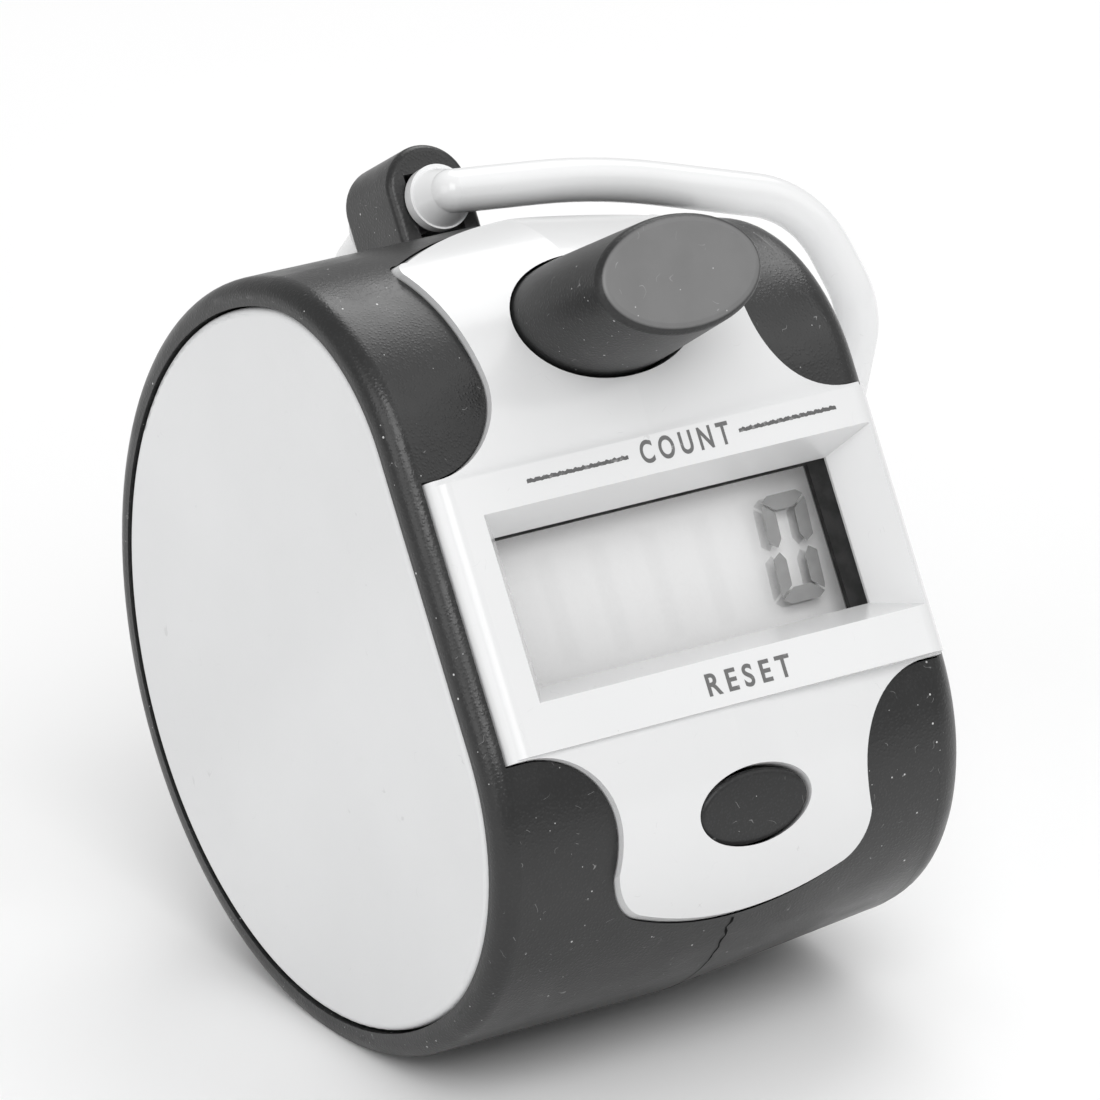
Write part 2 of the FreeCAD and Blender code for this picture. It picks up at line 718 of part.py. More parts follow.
# ---------------------------------------------------------------- screws
def make_screw(name, shank_radius, head_radius, length, head_height, turn, place):
    """Pan-head screw: its shank runs along its own +Z from under the head."""
    head = doc.addObject("Part::Cylinder", name + "_head")
    head.Radius = head_radius
    head.Height = head_height
    shank = doc.addObject("Part::Cylinder", name + "_shank")
    shank.Radius = shank_radius
    shank.Height = length + head_height
    driver = doc.addObject("Part::Box", name + "_driver")
    driver.Length = head_radius * 1.3
    driver.Width = 0.4
    driver.Height = head_height * 0.45
    driver.Placement.Base = Vec(-head_radius * 0.65, -0.2, 0)
    whole = doc.addObject("Part::Fuse", name + "_blank")
    whole.Base = head
    whole.Tool = shank
    slotted = doc.addObject("Part::Cut", name)
    slotted.Base = whole
    slotted.Tool = driver
    slotted.Placement = FreeCAD.Placement(place, turn)
    return slotted


def make_screws():
    back = sheet.get("board_front") + sheet.get("board_thickness")
    forward = FreeCAD.Rotation(Vec(1, 0, 0), 90)
    small = [make_screw("board_screw_%d" % i, 0.8, 1.65, 6.0, 1.1, forward,
                        Vec(across, back + 1.12, up))
             for i, (across, up) in enumerate(BOARD_SCREWS, start=1)]
    head_plane = -(ledge_floor.value + 0.3) + 0.2
    across_turn = FreeCAD.Rotation(Vec(0, 1, 0), 90)
    large = [make_screw("case_screw_%d" % i, 1.0, 1.85, 17.0, 1.2, across_turn,
                        Vec(head_plane, across, up))
             for i, (across, up) in enumerate(CASE_SCREWS, start=1)]
    for label, members in (("board_screws", small), ("case_screws", large)):
        group = doc.addObject("Part::Compound", label)
        group.Links = members
        group.Label = label
        put_in_row(group)


# ---------------------------------------------------------------- lug and finger ring
def make_lug():
    body = new_body("ring_lug")
    front = dim("lug_front")
    back = front + dim("lug_depth")
    reach = dim("lug_width") * 0.5
    hinge = dim("hinge_height")

    middle = dim("lug_shift")
    crown = dim("lug_crown")

    def arch(sketch):
        side, top, foot, mid = reach.value, crown.value, 17.9, middle.value
        points = [Vec(mid - side, top, 0), Vec(mid - side, foot, 0),
                  Vec(mid + side, foot, 0), Vec(mid + side, top, 0)]
        for i in range(3):
            sketch.addGeometry(Part.LineSegment(points[i], points[i + 1]), False)
        bow = Part.ArcOfCircle(Part.Circle(Vec(mid, top, 0), Vec(0, 0, 1), side), 0, math.pi)
        sketch.addGeometry(bow, False)
        close_loop(sketch, 0, 4)
        sketch.addConstraint(Sketcher.Constraint("Vertical", 0))
        sketch.addConstraint(Sketcher.Constraint("Horizontal", 1))
        sketch.addConstraint(Sketcher.Constraint("Vertical", 2))
        fix_radius(sketch, 3, reach, "bow")
        fix_point(sketch, 3, 3, middle, crown, "crown")
    pad_back(body, front, back, arch)
    faces = (front.value, back.value)
    round_edges(body, 0.45, lambda e: any(lies_at(e, "Y", y) for y in faces)
                and e.BoundBox.ZMax > 20)
    pad_back(body, front - 0.5, back + 0.5, rectangle(middle - 4.2, middle + 4.2, 16.5, 18.0))
    bore = dim("pin_radius") + 0.05
    cut_back(body, front - 0.1, back + 0.1,
             rectangle(middle - bore, middle + bore, hinge - 1.95, hinge + 1.72))
    return body


def smooth_path(points, radii):
    """Straight runs joined by tangent arcs, one radius for each inner point."""
    edges = []
    start = points[0]
    for i in range(1, len(points) - 1):
        corner = points[i]
        back = (points[i - 1] - corner).normalize()
        ahead = (points[i + 1] - corner).normalize()
        turn = math.pi - back.getAngle(ahead)
        reach = radii[i - 1] * math.tan(turn / 2)
        enter = corner + back * reach
        leave = corner + ahead * reach
        bisector = (back + ahead).normalize()
        centre = corner + bisector * (radii[i - 1] / math.cos(turn / 2))
        middle = centre - bisector * radii[i - 1]
        edges.append(Part.LineSegment(start, enter).toShape())
        edges.append(Part.Arc(enter, middle, leave).toShape())
        start = leave
    edges.append(Part.LineSegment(start, points[-1]).toShape())
    return Part.Wire(edges)


def make_ring():
    """Moulded loop: out of the lug's front, over the drum's right shoulder, round behind
    it and back into the lug's rear. Both ends are pins that turn in the lug."""
    rod = sheet.get("rod_radius")
    collar = sheet.get("collar_radius")
    pin = sheet.get("pin_radius")
    hinge = sheet.get("hinge_height")
    front = sheet.get("lug_front")
    back = front + sheet.get("lug_depth")
    middle = sheet.get("lug_shift")
    lift = 0.1
    nose = Vec(middle, front - lift - 2.0, hinge - 0.05)
    tail = Vec(middle, back + lift + 1.1, hinge)
    points = [nose, Vec(9.6, -2.1, 23.1), Vec(22.3, -2.3, 19.1), Vec(24.3, -1.6, 12.4),
              Vec(23.4, 4.5, 5.4), Vec(22.2, 12.5, 5.6), Vec(19.6, 18.4, 13.2),
              Vec(11.0, 18.8, 19.6), Vec(2.8, 15.6, 23.6), tail]
    radii = [38.0, 6.0, 5.2, 4.6, 4.6, 5.0, 9.0, 3.4]
    path = smooth_path(points, radii)
    start = path.Edges[0]
    heading = start.tangentAt(start.FirstParameter)
    section = Part.Wire([Part.Circle(nose, heading, rod).toShape()])
    tube = path.makePipeShell([section], True, True)
    backwards = Vec(0, 1, 0)
    flange = Vec(middle, front - lift - 0.7, hinge)
    pieces = [
        Part.makeSphere(rod, nose),
        Part.makeCylinder(collar, 0.7, flange, backwards),
        Part.makeCone(rod, collar * 0.92, 1.3, nose, backwards),
        Part.makeCylinder(pin, 2.4 + lift, Vec(middle, front - lift, hinge), backwards),
        Part.makeCylinder(collar, 1.1, Vec(middle, back + lift, hinge), backwards),
        Part.makeCylinder(pin, 2.4 + lift, Vec(middle, back - 2.4, hinge), backwards),
    ]
    solid = tube
    for piece in pieces:
        solid = solid.fuse(piece)
    ring = doc.addObject("Part::Feature", "finger_ring")
    ring.Shape = solid.removeSplitter()
    ring.Label = "finger_ring"
    put_in_row(ring)


# ---------------------------------------------------------------- assembly
def build():
    make_grip_shell("left_grip_shell", -1)
    make_grip_shell("right_grip_shell", 1)
    make_side_cover("left_side_cover", -1)
    make_side_cover("right_side_cover", 1)
    make_faceplate()
    make_count_button()
    make_reset_button()
    make_switch("count", 0, dim("count_centre"), -8.5, -9.91, -7.9, -6.6)
    make_switch("reset", dim("reset_shift"), dim("reset_centre"), -8.0, -9.21, -7.4, -6.5)
    make_display()
    make_board()
    make_battery()
    make_screws()
    make_lug()
    make_ring()


def export():
    doc.recompute()
    for obj in doc.Objects:
        if "Invalid" in obj.State or "Error" in obj.State:
            raise RuntimeError("%s is in state %s" % (obj.Label, obj.State))
    for node in nodes:
        if node.Shape.isNull() or not node.Shape.isValid():
            raise RuntimeError("%s has no valid shape" % node.Label)
    for node in nodes:
        node.Shape.exportStep("parts/%s.step" % node.Label)
        print(node.Label, "solids", len(node.Shape.Solids), "volume",
              round(node.Shape.Volume, 2))


build()
export()
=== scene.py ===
import json
import math
import bpy
import bmesh
from mathutils import Matrix, Vector


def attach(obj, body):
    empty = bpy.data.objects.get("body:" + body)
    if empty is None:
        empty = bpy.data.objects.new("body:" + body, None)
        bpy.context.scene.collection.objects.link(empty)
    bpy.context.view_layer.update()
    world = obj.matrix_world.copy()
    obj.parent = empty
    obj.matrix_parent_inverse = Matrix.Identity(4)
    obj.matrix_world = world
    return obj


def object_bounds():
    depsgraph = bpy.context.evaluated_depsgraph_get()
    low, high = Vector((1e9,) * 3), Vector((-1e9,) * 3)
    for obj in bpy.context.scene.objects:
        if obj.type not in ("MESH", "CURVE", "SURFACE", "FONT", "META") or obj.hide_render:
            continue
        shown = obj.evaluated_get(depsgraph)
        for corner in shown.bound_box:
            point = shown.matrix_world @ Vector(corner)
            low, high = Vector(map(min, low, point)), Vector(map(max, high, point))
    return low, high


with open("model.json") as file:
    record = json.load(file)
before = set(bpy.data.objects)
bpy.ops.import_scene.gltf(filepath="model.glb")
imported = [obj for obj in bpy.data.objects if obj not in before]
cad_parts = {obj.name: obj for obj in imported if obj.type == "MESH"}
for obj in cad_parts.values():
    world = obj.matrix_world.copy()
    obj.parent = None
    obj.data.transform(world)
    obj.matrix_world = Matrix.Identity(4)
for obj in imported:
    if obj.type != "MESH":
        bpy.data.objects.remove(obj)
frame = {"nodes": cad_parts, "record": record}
cad_low, cad_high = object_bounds()
MM = 0.001

# ---------------------------------------------------------------- directions and places
# The counter is drawn upright here: x across from its middle plane, y from the display
# backwards, z up along the display. The frame holds it leaning back.
JOINTS = {joint["name"]: joint for joint in frame["record"]["behaviour"]["joints"]}
BACKWARDS = Vector(JOINTS["count_press"]["axis"]).normalized()
ACROSS = Vector((1, 0, 0))
UPWARDS = ACROSS.cross(BACKWARDS)


def reach(node, direction):
    """Lowest and highest place of a CAD node along a direction, in metres."""
    places = [v.co.dot(direction) for v in frame["nodes"][node].data.vertices]
    return min(places), max(places)


MIDDLE = (reach("left_grip_shell", ACROSS)[0] + reach("right_grip_shell", ACROSS)[1]) / 2
FACE = reach("faceplate", BACKWARDS)[0]
UPRIGHT = Matrix((ACROSS, BACKWARDS, UPWARDS)).transposed().to_4x4()
UPRIGHT.translation = Vector((MIDDLE, 0, 0))


def place(x, y, z):
    """A point of the upright counter, in millimetres, as a point of the frame."""
    return UPRIGHT @ (Vector((x, y, z)) * MM)


# ---------------------------------------------------------------- node helpers
class Material:
    """A Principled material with short calls for the nodes that it needs."""

    def __init__(self, name, **sockets):
        self.data = bpy.data.materials.new(name)
        self.data.use_nodes = True
        self.tree = self.data.node_tree
        self.shader = self.tree.nodes["Principled BSDF"]
        self.space = self.add("ShaderNodeTexCoord").outputs["Object"]
        for socket, value in sockets.items():
            self.shader.inputs[socket.replace("_", " ")].default_value = value

    def add(self, kind, **settings):
        """A new node of this kind with these settings."""
        node = self.tree.nodes.new(kind)
        for name, value in settings.items():
            setattr(node, name, value)
        return node

    def feed(self, target, value):
        """Link a socket to an input, or set the input to a plain value."""
        if isinstance(value, bpy.types.NodeSocket):
            self.tree.links.new(value, target)
        else:
            target.default_value = value

    def math(self, operation, first, second=0.0):
        node = self.add("ShaderNodeMath", operation=operation)
        for socket, value in zip(node.inputs, (first, second)):
            self.feed(socket, value)
        return node.outputs[0]

    def noise(self, size, detail=2.0, roughness=0.5, distortion=0.0):
        """Noise whose features are about this many millimetres across."""
        node = self.add("ShaderNodeTexNoise")
        self.feed(node.inputs["Vector"], self.space)
        node.inputs["Scale"].default_value = 1.0 / (size * MM)
        node.inputs["Detail"].default_value = detail
        node.inputs["Roughness"].default_value = roughness
        node.inputs["Distortion"].default_value = distortion
        return node.outputs["Fac"]

    def cells(self, size):
        """Distance to, and colour of, the nearest of points about size millimetres apart."""
        node = self.add("ShaderNodeTexVoronoi")
        self.feed(node.inputs["Vector"], self.space)
        node.inputs["Scale"].default_value = 1.0 / (size * MM)
        return node.outputs["Distance"], node.outputs["Color"]

    def between(self, value, low, high, bottom=0.0, top=1.0):
        """Value stretched from low..high to bottom..top, smoothly and clamped."""
        node = self.add("ShaderNodeMapRange", interpolation_type="SMOOTHSTEP")
        for socket, number in zip(node.inputs, (value, low, high, bottom, top)):
            self.feed(socket, number)
        return node.outputs[0]

    def mix(self, factor, first, second):
        node = self.add("ShaderNodeMix", data_type="RGBA")
        self.feed(node.inputs[0], factor)
        self.feed(node.inputs[6], first)
        self.feed(node.inputs[7], second)
        return node.outputs[2]

    def along(self, direction, origin=0.0):
        """Distance of the surface point along a direction of the frame, in metres."""
        node = self.add("ShaderNodeVectorMath", operation="DOT_PRODUCT")
        self.feed(node.inputs[0], self.space)
        node.inputs[1].default_value = direction
        return self.math("SUBTRACT", node.outputs["Value"], origin)

    def specks(self, spacing, radius, share):
        """Mask of scattered dots: spacing and radius in millimetres, share of cells used."""
        distance, colour = self.cells(spacing)
        split = self.add("ShaderNodeSeparateColor")
        self.feed(split.inputs[0], colour)
        edge = radius / spacing
        dot = self.between(distance, edge * 0.7, edge, 1.0, 0.0)
        chosen = self.math("LESS_THAN", split.outputs[0], share)
        return self.math("MULTIPLY", dot, chosen)

    def scratches(self, size, width, share):
        """Mask of thin curved hairs: level lines of a slow noise, kept in a few places."""
        field = self.noise(size, 1.0)
        line = self.math("ABSOLUTE", self.math("SUBTRACT", field, 0.5))
        thin = self.between(line, 0.0, width, 1.0, 0.0)
        where = self.between(self.noise(size * 0.55, 0.0), 0.72 - share, 0.76 - share)
        return self.math("MULTIPLY", thin, where)

    def colour(self, value):
        self.feed(self.shader.inputs["Base Color"], value)

    def roughness(self, value):
        self.feed(self.shader.inputs["Roughness"], value)

    def bump(self, height, depth, strength=1.0):
        """Bump from a height of 0..1 that stands for depth millimetres."""
        node = self.add("ShaderNodeBump")
        node.inputs["Strength"].default_value = strength
        node.inputs["Distance"].default_value = depth * MM
        self.feed(node.inputs["Height"], height)
        self.feed(self.shader.inputs["Normal"], node.outputs[0])


def grey(level, tint=0.0):
    """A neutral linear colour, a touch cooler for a positive tint."""
    return (level * (1 - tint), level, level * (1 + tint), 1.0)


# ---------------------------------------------------------------- materials
def grip_material():
    """Charcoal soft-touch plastic: fine grain, worn soft sheen and a little white dust."""
    m = Material("grip_soft_touch", Roughness=0.4, Specular_IOR_Level=0.6)
    grain, _ = m.cells(0.19)
    cloud = m.noise(12.0, 2.0, 0.5)
    body = m.mix(m.between(cloud, 0.35, 0.68), grey(0.013, 0.02), grey(0.017, 0.02))
    body = m.mix(m.between(grain, 0.15, 0.55, 0.0, 0.6), body, grey(0.008))
    dust = m.specks(1.1, 0.072, 0.42)
    fine = m.specks(0.6, 0.044, 0.34)
    hair = m.scratches(1.1, 0.008, 0.0)
    dirt = m.math("MAXIMUM", m.math("MAXIMUM", dust, m.math("MULTIPLY", fine, 0.7)),
                  m.math("MULTIPLY", hair, 0.35))
    m.colour(m.mix(dirt, body, grey(0.55)))
    m.roughness(m.between(m.noise(3.0, 4.0), 0.3, 0.7, 0.29, 0.38))
    m.bump(m.between(grain, 0.1, 0.6, 1.0, 0.0), 0.012, 0.6)
    return m.data


FACE_FADE_DEPTH = (0.03 * MM, 0.12 * MM)
NO_FACE = -1.0


def button_material(name, face):
    """The same dark plastic, with a smoother end at this plane whose lighter grey is a
    painted reflection. NO_FACE lies far outside, for a button without one."""
    m = Material(name, Roughness=0.4, Specular_IOR_Level=0.46)
    grain, _ = m.cells(0.18)
    on_face = m.between(m.along(BACKWARDS, face), *FACE_FADE_DEPTH, 1.0, 0.0)
    body = m.mix(m.between(grain, 0.15, 0.55, 0.0, 0.6), grey(0.022, 0.02), grey(0.013))
    # Painted reflection: the flat end is painted a lighter grey, standing in for the light
    # that it reflects.
    painted_reflection = m.mix(m.between(m.noise(2.4, 3.0), 0.3, 0.7), grey(0.165), grey(0.180))
    body = m.mix(on_face, body, painted_reflection)
    dust = m.math("MAXIMUM", m.specks(1.1, 0.070, 0.38), m.specks(0.6, 0.042, 0.30))
    hair = m.scratches(1.5, 0.005, 0.03)
    body = m.mix(m.math("MAXIMUM", dust, m.math("MULTIPLY", hair, 0.35)), body, grey(0.55))
    m.colour(body)
    m.roughness(m.between(on_face, 0.0, 1.0, 0.40, 0.34))
    coarse = m.math("MULTIPLY", m.between(grain, 0.1, 0.6, 1.0, 0.0),
                    m.between(on_face, 0.0, 1.0, 1.0, 0.08))
    m.bump(coarse, 0.012, 0.6)
    return m.data


def white_gloss_material(name, level):
    """Moulded white plastic with a soft gloss, faint flow marks and fine dust."""
    m = Material(name, Roughness=0.22, Specular_IOR_Level=0.5, Coat_Weight=0.18,
                 Coat_Roughness=0.08)
    flow = m.noise(14.0, 3.0, 0.5, 0.6)
    body = m.mix(m.between(flow, 0.3, 0.7), grey(level * 0.975, 0.004), grey(level, 0.004))
    dirt = m.math("MAXIMUM", m.specks(2.6, 0.045, 0.10),
                  m.math("MULTIPLY", m.scratches(1.6, 0.004, 0.02), 0.4))
    m.colour(m.mix(m.math("MULTIPLY", dirt, 0.5), body, grey(0.30)))
    m.roughness(m.between(m.noise(6.0, 2.0), 0.3, 0.7, 0.20, 0.27))
    m.bump(m.noise(2.2, 2.0), 0.004, 0.2)
    return m.data


def side_cover_material():
    """Pale satin cover: very fine spark texture, a few scuffs and specks."""
    m = Material("side_cover_satin", Roughness=0.42, Specular_IOR_Level=0.45)
    cloud = m.noise(16.0, 3.0)
    body = m.mix(m.between(cloud, 0.3, 0.7), grey(0.73, 0.006), grey(0.765, 0.006))
    scuff = m.math("MULTIPLY", m.scratches(1.8, 0.004, 0.02), 0.4)
    dirt = m.math("MAXIMUM", scuff, m.specks(3.0, 0.05, 0.10))
    m.colour(m.mix(m.math("MULTIPLY", dirt, 0.5), body, grey(0.34)))
    m.roughness(m.between(m.noise(2.0, 4.0), 0.3, 0.7, 0.36, 0.50))
    m.bump(m.noise(0.16, 2.0), 0.014, 0.35)
    return m.data


DIGIT_PITCH = 3.38 * MM
DIGIT_MIDDLE = -0.9 * MM
UNLIT_FADE = (2.8 * MM, 3.4 * MM)
TOP_SHADE = (-0.6 * MM, -0.4 * MM)
RIGHT_BORDER = (-0.50 * MM, -0.46 * MM)


def reflector_material():
    """Grey-silver film behind the liquid crystal: finely speckled, with faint columns
    where unlit digits are, a painted shade along the top edge, a dark right border and a
    faint painted glow."""
    # Emission_Strength makes the film glow faintly: painted light that brightens it evenly.
    m = Material("display_reflector", Roughness=0.55, Specular_IOR_Level=0.3,
                 Emission_Strength=0.10)
    speckle = m.noise(0.16, 2.0, 0.7)
    body = m.mix(m.between(speckle, 0.30, 0.72), grey(0.95), grey(1.0))
    wave = m.math("SINE", m.math("MULTIPLY", m.along(ACROSS, MIDDLE), math.tau / DIGIT_PITCH))
    tall = m.math("ABSOLUTE", m.along(UPWARDS, DIGIT_MIDDLE))
    inside = m.between(tall, *UNLIT_FADE, 1.0, 0.0)
    column = m.math("MULTIPLY", m.between(wave, 0.1, 0.9), inside)
    body = m.mix(m.math("MULTIPLY", column, 0.09), body, grey(0.60))
    # Painted shade: a darker band along the top of the film, where the window's edge shades
    # it.
    top = m.between(m.along(UPWARDS, reach("lcd_reflector", UPWARDS)[1]), *TOP_SHADE)
    body = m.mix(m.math("MULTIPLY", top, 0.6), body, grey(0.35))
    border = m.between(m.along(ACROSS, reach("lcd_reflector", ACROSS)[1]), *RIGHT_BORDER)
    m.colour(m.mix(border, body, grey(0.02)))
    m.bump(speckle, 0.01, 0.3)
    return m.data


def display_glass_material():
    """Clear display glass with its polarising film: nearly invisible but glossy."""
    m = Material("display_glass", Roughness=0.10, Specular_IOR_Level=0.5, Alpha=0.02)
    haze = m.noise(5.0, 4.0)
    m.colour(m.mix(m.between(haze, 0.3, 0.7), grey(0.30), grey(0.40)))
    m.roughness(m.between(haze, 0.3, 0.7, 0.07, 0.14))
    return m.data


def plain_material(name, base, rough, metallic=0.0):
    """Moulded or plated inner piece: slight mottling, its own roughness and grain."""
    m = Material(name, Roughness=rough, Metallic=metallic)
    dark = tuple(c * 0.80 for c in base[:3]) + (1.0,)
    mottle = m.noise(3.0, 4.0)
    m.colour(m.mix(m.between(mottle, 0.3, 0.7), dark, base))
    m.roughness(m.between(m.noise(1.0, 3.0), 0.3, 0.7, rough * 0.8, rough * 1.15))
    m.bump(m.noise(0.2, 2.0), 0.012, 0.3)
    return m.data


def ink_material(name, level, coverage):
    """Grey pad-printed ink that is slightly worn through."""
    m = Material(name, Roughness=0.5, Specular_IOR_Level=0.35)
    wear = m.noise(0.35, 4.0, 0.7)
    m.colour(m.mix(m.between(wear, coverage, coverage + 0.12), grey(level),
                   grey(level * 2.2)))
    m.bump(wear, 0.006, 0.3)
    return m.data


def segment_material():
    """Darkened liquid crystal: an even mid grey with a faint mottle."""
    m = Material("display_segment", Roughness=0.35, Specular_IOR_Level=0.3)
    mottle = m.noise(0.6, 3.0)
    m.colour(m.mix(m.between(mottle, 0.3, 0.7), grey(0.29), grey(0.32)))
    return m.data


def shade_material():
    """The digit's shadow on the reflecting film: a light speckled grey."""
    m = Material("display_shade", Roughness=0.55, Specular_IOR_Level=0.3)
    speckle = m.noise(0.16, 2.0, 0.7)
    m.colour(m.mix(m.between(speckle, 0.30, 0.72), grey(0.80), grey(0.88)))
    return m.data


def seam_material():
    """Bottom of the joint between the two grip shells: black, with a ragged edge."""
    m = Material("seam_shadow", Roughness=0.8, Specular_IOR_Level=0.1)
    m.colour(m.mix(m.between(m.noise(0.3, 3.0), 0.35, 0.65), grey(0.004), grey(0.016)))
    return m.data


def floor_material():
    """Plain pale floor with a hardly visible cloud and grain."""
    m = Material("pale_floor", Roughness=0.65, Specular_IOR_Level=0.2)
    cloud = m.noise(120.0, 3.0)
    m.colour(m.mix(m.between(cloud, 0.3, 0.7), grey(0.92), grey(0.95)))
    m.bump(m.noise(1.5, 3.0), 0.02, 0.1)
    return m.data


# ---------------------------------------------------------------- mesh helpers
def add_piece(name, mesh, material, body):
    """A visible piece that rides on a CAD body and takes the material that it is
    given."""
    piece = bpy.data.objects.new(name, mesh)
    bpy.context.scene.collection.objects.link(piece)
    mesh.materials.clear()
    mesh.materials.append(material)
    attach(piece, body)
    return piece


def thin_plate(outlines, depth, front):
    """Flat closed plates in the upright plane. Outlines hold (x, z) in millimetres,
    front is the plane of their front side and depth their thickness."""
    mesh = bpy.data.meshes.new("plates")
    work = bmesh.new()
    for outline in outlines:
        near = [work.verts.new(place(x, front, z)) for x, z in outline]
        far = [work.verts.new(place(x, front + depth, z)) for x, z in outline]
        work.faces.new(near)
        work.faces.new(list(reversed(far)))
        count = len(outline)
        for i in range(count):
            j = (i + 1) % count
            work.faces.new((near[i], far[i], far[j], near[j]))
    bmesh.ops.recalc_face_normals(work, faces=work.faces)
    work.to_mesh(mesh)
    work.free()
    return mesh


# ---------------------------------------------------------------- display digit
# Millimetres in the upright plane.
DIGIT_WIDTH = 2.9
DIGIT_HEIGHT = 6.1
DIGIT_CENTRE = (9.02, -0.80)
STROKE = 0.82
LEAN = math.tan(math.radians(4.3))
SEGMENT_GAP = 0.09
SEGMENT_DEPTH = 0.02
SHADE_DEPTH = 0.01
FILM_GAP = 0.02


def digit_segments():
    """The six outer segments of a seven-segment nought, as outlines."""
    w = DIGIT_WIDTH / 2
    h = DIGIT_HEIGHT / 2
    t = STROKE
    g = SEGMENT_GAP
    flat = [(-w + g, h - 0.30), (-w + 0.5, h), (w - 0.5, h), (w - g, h - 0.30),
            (w - t - 0.05, h - 0.88), (-w + t + 0.05, h - 0.88)]
    side = [(-w, h - 0.66), (-w + 0.07, h - 0.45), (-w + t, h - 1.02), (-w + t, 0.58),
            (-w + 0.5, g * 1.5), (-w, 0.46)]
    outlines = []
    for mirror_x, mirror_z, shape in ((1, 1, flat), (1, -1, flat), (1, 1, side),
                                      (-1, 1, side), (1, -1, side), (-1, -1, side)):
        points = [(x * mirror_x, z * mirror_z) for x, z in shape]
        outlines.append([(DIGIT_CENTRE[0] + x + z * LEAN, DIGIT_CENTRE[1] + z)
                         for x, z in points])
    return outlines


def build_digit():
    """The nought behind the front glass, and its shadow just before the reflector."""
    glass_back = reach("lcd_front_glass", BACKWARDS)[1] / MM
    mesh = thin_plate(digit_segments(), SEGMENT_DEPTH, glass_back + FILM_GAP)
    add_piece("display_digit", mesh, segment_material(), "housing")
    film = reach("lcd_reflector", BACKWARDS)[0] / MM
    mesh = thin_plate(digit_segments(), SHADE_DEPTH, film - FILM_GAP)
    add_piece("digit_shade", mesh, shade_material(), "housing")


# ---------------------------------------------------------------- printed words and rules
# Boxes are left, right, low and high in the upright plane, in millimetres.
COUNT_BOX = (-1.2, 4.6, 5.08, 6.38)
RESET_BOX = (-1.42, 4.05, -8.02, -6.74)
LETTER_SPACING = 1.5
LETTER_WEIGHT = 0.024
LETTER_DEPTH = 0.004
PRINT_GAP = 0.006
RULE_SPANS = ((-8.5, -2.0), (5.2, 11.6))
RULE_FOOT = 5.57
RULE_TOP = 5.79
RULE_DEPTH = 0.006
RULE_RAISE = 0.0065
RULE_STEPS = 70


def build_word(text, box, ink):
    """A word in plain capitals that fills a box on the bezel's face."""
    left, right, low, high = box
    curve = bpy.data.curves.new(text.lower() + "_word", "FONT")
    curve.body = text
    curve.size = 1.0
    curve.space_character = LETTER_SPACING
    curve.offset = LETTER_WEIGHT
    curve.extrude = LETTER_DEPTH
    holder = bpy.data.objects.new(text.lower() + "_outline", curve)
    bpy.context.scene.collection.objects.link(holder)
    bpy.context.view_layer.update()
    seen = holder.evaluated_get(bpy.context.evaluated_depsgraph_get())
    mesh = bpy.data.meshes.new_from_object(seen)
    bpy.data.objects.remove(holder)
    xs = [v.co.x for v in mesh.vertices]
    ys = [v.co.y for v in mesh.vertices]
    wide = (right - left) / (max(xs) - min(xs))
    tall = (high - low) / (max(ys) - min(ys))
    face = FACE / MM
    for vertex in mesh.vertices:
        x, y, z = vertex.co
        vertex.co = place(left + (x - min(xs)) * wide, face - PRINT_GAP - z,
                          low + (y - min(ys)) * tall)
    return add_piece("word_" + text.lower(), mesh, ink, "housing")


def build_print():
    """Both words, and the two slightly ragged rules beside the upper one."""
    ink = ink_material("printed_ink", 0.15, 0.60)
    build_word("COUNT", COUNT_BOX, ink)
    build_word("RESET", RESET_BOX, ink)
    rules = []
    for left, right in RULE_SPANS:
        top = []
        foot = []
        for i in range(RULE_STEPS + 1):
            x = left + (right - left) * i / RULE_STEPS
            ragged = 0.035 * math.sin(i * 5.1 + left) + 0.03 * math.sin(i * 2.3)
            top.append((x, RULE_TOP + ragged))
            foot.append((x, RULE_FOOT + 0.4 * ragged))
        rules.append(top + list(reversed(foot)))
    mesh = thin_plate(rules, RULE_DEPTH, FACE / MM - RULE_RAISE)
    add_piece("printed_rules", mesh, ink_material("printed_rule_ink", 0.12, 0.54),
              "housing")


# ---------------------------------------------------------------- joint of the grip shells
# Millimetres, except that FAR_OUT is in metres and a step round the grip is one degree.
SEAM_SIDESTEP = 0.25
SKIN_END_DROP = 0.6
SEAM_RAISE = 0.012
SEAM_HALF_WIDTH = 0.030
TORN_STEPS = 15
FAR_OUT = 0.05


def skin_points(turn):
    """Points of the grip's skin beside the seam, from the underside until the skin ends:
    backwards for a turn of 1 and forwards for -1."""
    shell = frame["nodes"]["left_grip_shell"]
    points = []
    last = None
    for i in range(180):
        angle = math.radians(i * turn)
        out = BACKWARDS * math.sin(angle) - UPWARDS * math.cos(angle)
        start = ACROSS * (MIDDLE - SEAM_SIDESTEP * MM) + out * FAR_OUT
        hit, location, _, _ = shell.ray_cast(start, -out)
        depth = location.dot(out) if hit else 0.0
        if not hit or (last and last - depth > SKIN_END_DROP * MM):
            break
        last = depth
        points.append((depth, out))
    return points


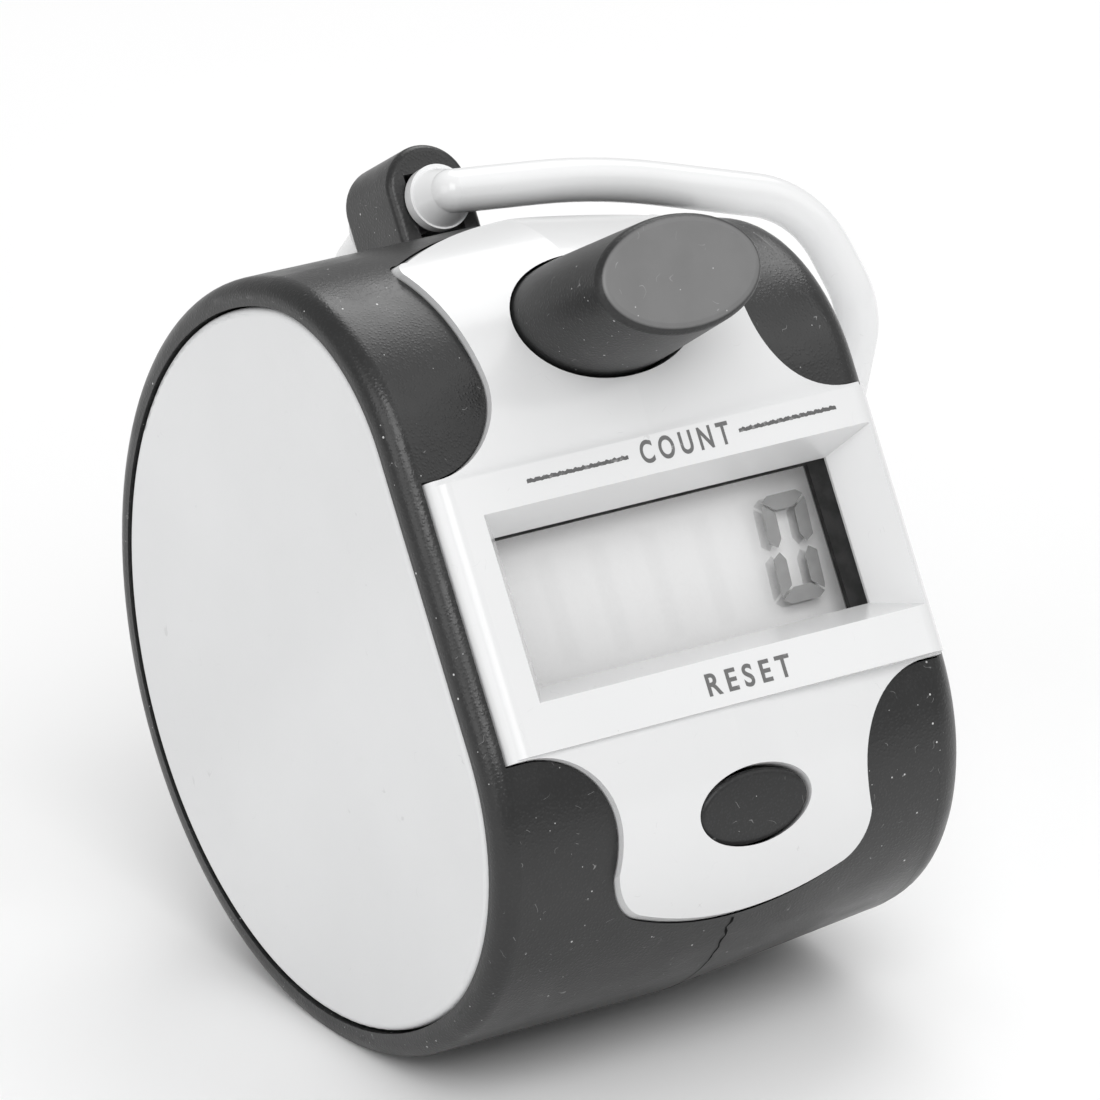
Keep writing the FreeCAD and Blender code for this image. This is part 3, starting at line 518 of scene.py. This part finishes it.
def build_seam():
    """Dark line where the two shells meet, broken open next to the faceplate: two sine
    waves sway the torn stretch, and they die away along it."""
    ahead = skin_points(-1)
    behind = skin_points(1)
    line = list(reversed(ahead)) + behind[1:]
    mesh = bpy.data.meshes.new("seam")
    work = bmesh.new()
    pairs = []
    for i, (depth, out) in enumerate(line):
        torn = max(0.0, 1.0 - i / TORN_STEPS)
        sway = torn * (0.22 * math.sin(i * 1.9) + 0.12 * math.sin(i * 4.3 + 1.0))
        wide = SEAM_HALF_WIDTH + torn * (0.055 + 0.045 * math.sin(i * 2.7))
        base = out * (depth + SEAM_RAISE * MM)
        pairs.append([work.verts.new(base + ACROSS * (MIDDLE + (sway + side * wide) * MM))
                      for side in (-1, 1)])
    for first, second in zip(pairs, pairs[1:]):
        work.faces.new((first[0], second[0], second[1], first[1]))
    bmesh.ops.recalc_face_normals(work, faces=work.faces)
    work.to_mesh(mesh)
    work.free()
    add_piece("shell_seam", mesh, seam_material(), "housing")


# ---------------------------------------------------------------- finishes of the CAD nodes
def paint(node, material):
    """One finish on every slot of a CAD node."""
    target = frame["nodes"][node]
    for slot in target.material_slots:
        slot.material = material


def paint_nodes():
    """The finish of each CAD node."""
    grip = grip_material()
    for node in ("left_grip_shell", "right_grip_shell", "ring_lug"):
        paint(node, grip)
    cover = side_cover_material()
    for node in ("left_side_cover", "right_side_cover"):
        paint(node, cover)
    paint("faceplate", white_gloss_material("faceplate_white", 0.78))
    paint("finger_ring", white_gloss_material("ring_white", 0.86))
    paint("count_button", button_material("count_button_dark",
                                          reach("count_button", BACKWARDS)[0]))
    paint("reset_button", button_material("reset_button_dark", NO_FACE))
    glass = display_glass_material()
    paint("lcd_front_glass", glass)
    paint("lcd_rear_glass", glass)
    paint("lcd_reflector", reflector_material())
    black = plain_material("black_moulding", grey(0.015), 0.5)
    for node in ("lcd_holder", "count_switch_base", "reset_switch_base",
                 "count_switch_plunger", "reset_switch_plunger", "battery_holder"):
        paint(node, black)
    paint("lcd_gasket", plain_material("black_foam", grey(0.008), 0.8))
    strip = plain_material("contact_rubber", (0.42, 0.20, 0.22, 1.0), 0.7)
    for node in ("upper_contact_strip", "lower_contact_strip"):
        paint(node, strip)
    paint("circuit_board", plain_material("board_green", (0.03, 0.16, 0.07, 1.0), 0.4))
    paint("chip_blob", plain_material("black_resin", grey(0.01), 0.25))
    steel = plain_material("plated_steel", grey(0.55), 0.3, metallic=1.0)
    for node in ("battery_cell", "battery_contact_negative", "battery_contact_positive",
                 "board_screws", "case_screws", "capacitor"):
        paint(node, steel)


# ---------------------------------------------------------------- floor, light and camera
# Metres and watts.
FLOOR_HALF = 3.0
WORLD_STRENGTH = 0.50
SOFTBOXES = (("key", (-0.20, -0.52, 0.58), 0.45, 2.3),
             ("side", (-0.65, -0.20, 0.35), 0.5, 1.2),
             ("top", (0.40, 0.33, 0.62), 0.5, 2.2),
             ("fill", (0.45, -0.35, 0.55), 0.5, 0.8))


def build_floor():
    """A flat floor under the lowest point of the counter."""
    level = cad_low[2]
    mesh = bpy.data.meshes.new("floor")
    corners = [(x * FLOOR_HALF, y * FLOOR_HALF, level)
               for x, y in ((-1, -1), (1, -1), (1, 1), (-1, 1))]
    mesh.from_pydata(corners, [], [(0, 1, 2, 3)])
    mesh.materials.append(floor_material())
    floor = bpy.data.objects.new("floor", mesh)
    bpy.context.scene.collection.objects.link(floor)


def add_softbox(name, position, target, side, power):
    """A square soft light of this side, turned to its target."""
    light = bpy.data.lights.new(name, "AREA")
    light.shape = "SQUARE"
    light.size = side
    light.energy = power
    lamp = bpy.data.objects.new(name, light)
    lamp.location = position
    lamp.rotation_euler = (Vector(target) - Vector(position)).to_track_quat(
        "-Z", "Y").to_euler()
    bpy.context.scene.collection.objects.link(lamp)


def build_light():
    """Plain white studio: an even world and four soft lights."""
    world = bpy.data.worlds.new("studio")
    world.use_nodes = True
    back = world.node_tree.nodes["Background"]
    back.inputs["Color"].default_value = (1.0, 1.0, 1.0, 1.0)
    back.inputs["Strength"].default_value = WORLD_STRENGTH
    bpy.context.scene.world = world
    bpy.context.scene.view_settings.view_transform = "Standard"
    aim = (MIDDLE, 0.0, 0.0)
    for name, position, side, power in SOFTBOXES:
        add_softbox(name, position, aim, side, power)


# Lens and sensor are in millimetres. The camera aims at a point of the bezel's face,
# moved by AIM_RIGHT and AIM_UP (metres) across its view.
DISTANCE = 0.4595
VIEW_BACK = Vector((-0.5000, -0.7765, 0.3834)).normalized()
VIEW_UP = Vector((0.2073, 0.3226, 0.9236))
LENS = 278.2
SENSOR = 36.0
AIM_POINT = (0.0, -15.99, -1.06)
AIM_RIGHT = -0.007811
AIM_UP = 0.0010135


def build_camera():
    """Seen from the front left and above, level, from about half a metre."""
    data = bpy.data.cameras.new("camera")
    data.sensor_width = SENSOR
    data.lens = LENS
    data.clip_start = 0.01
    right = VIEW_UP.cross(VIEW_BACK).normalized()
    up = VIEW_BACK.cross(right)
    camera = bpy.data.objects.new("camera", data)
    pose = Matrix((right, up, VIEW_BACK)).transposed().to_4x4()
    aim = place(*AIM_POINT) + right * AIM_RIGHT + up * AIM_UP
    pose.translation = aim + VIEW_BACK * DISTANCE
    camera.matrix_world = pose
    bpy.context.scene.collection.objects.link(camera)
    bpy.context.scene.camera = camera


paint_nodes()
build_digit()
build_print()
build_seam()
build_floor()
build_light()
build_camera()
